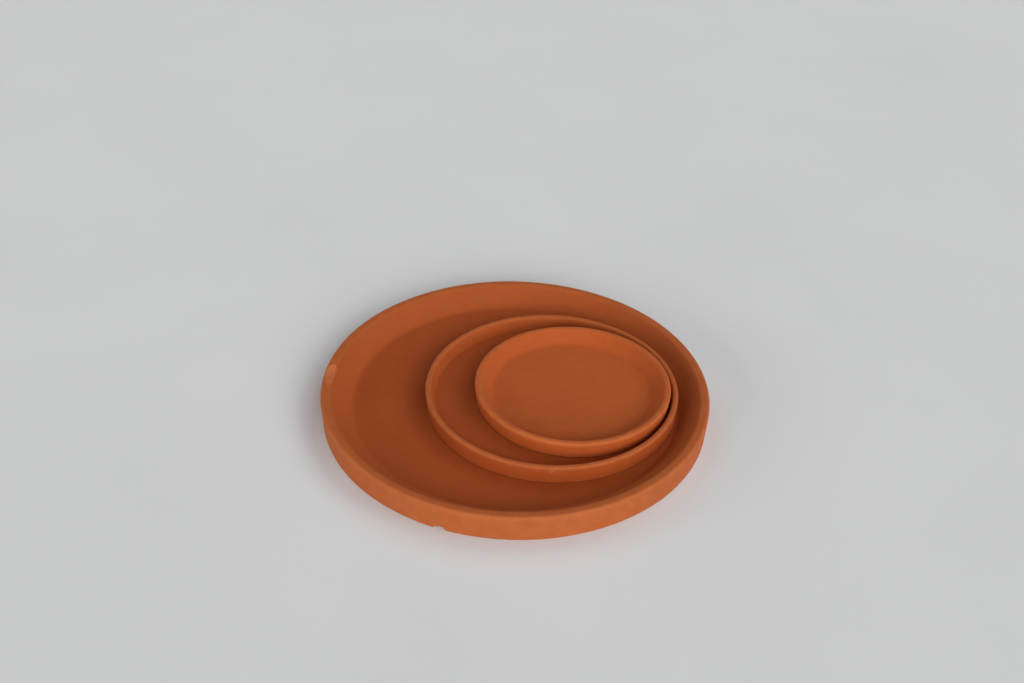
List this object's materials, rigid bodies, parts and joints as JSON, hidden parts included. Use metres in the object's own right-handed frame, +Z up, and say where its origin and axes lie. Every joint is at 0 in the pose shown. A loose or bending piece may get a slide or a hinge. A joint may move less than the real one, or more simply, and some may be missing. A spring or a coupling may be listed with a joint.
{
  "type": "nested plant saucer set",
  "caption": "Nested set of round, shallow, unglazed terracotta plant saucers that lift out of one another; each catches drained water under a plant pot.",
  "frame": {"origin": "centre of the large saucer's foot, on the surface that it stands on", "axes": "+Z up along the saucers' axes; +X the way that the medium and small saucers are pushed; +Y away from the viewer"},
  "size_m": [0.2998, 0.2998, 0.0259],
  "materials": {
    "terracotta": "matte, unglazed fired clay"
  },
  "bodies": {
    "large": {"large_saucer": "terracotta"},
    "medium": {"medium_saucer": "terracotta"},
    "small": {"small_saucer": "terracotta"}
  },
  "joints": [
    {"name": "medium_lift", "type": "slide", "parent": "large", "child": "medium", "axis": [0, 0, 1], "range_m": [0, 0.04]},
    {"name": "small_lift", "type": "slide", "parent": "medium", "child": "small", "axis": [0, 0, 1], "range_m": [0, 0.04]}
  ]
}
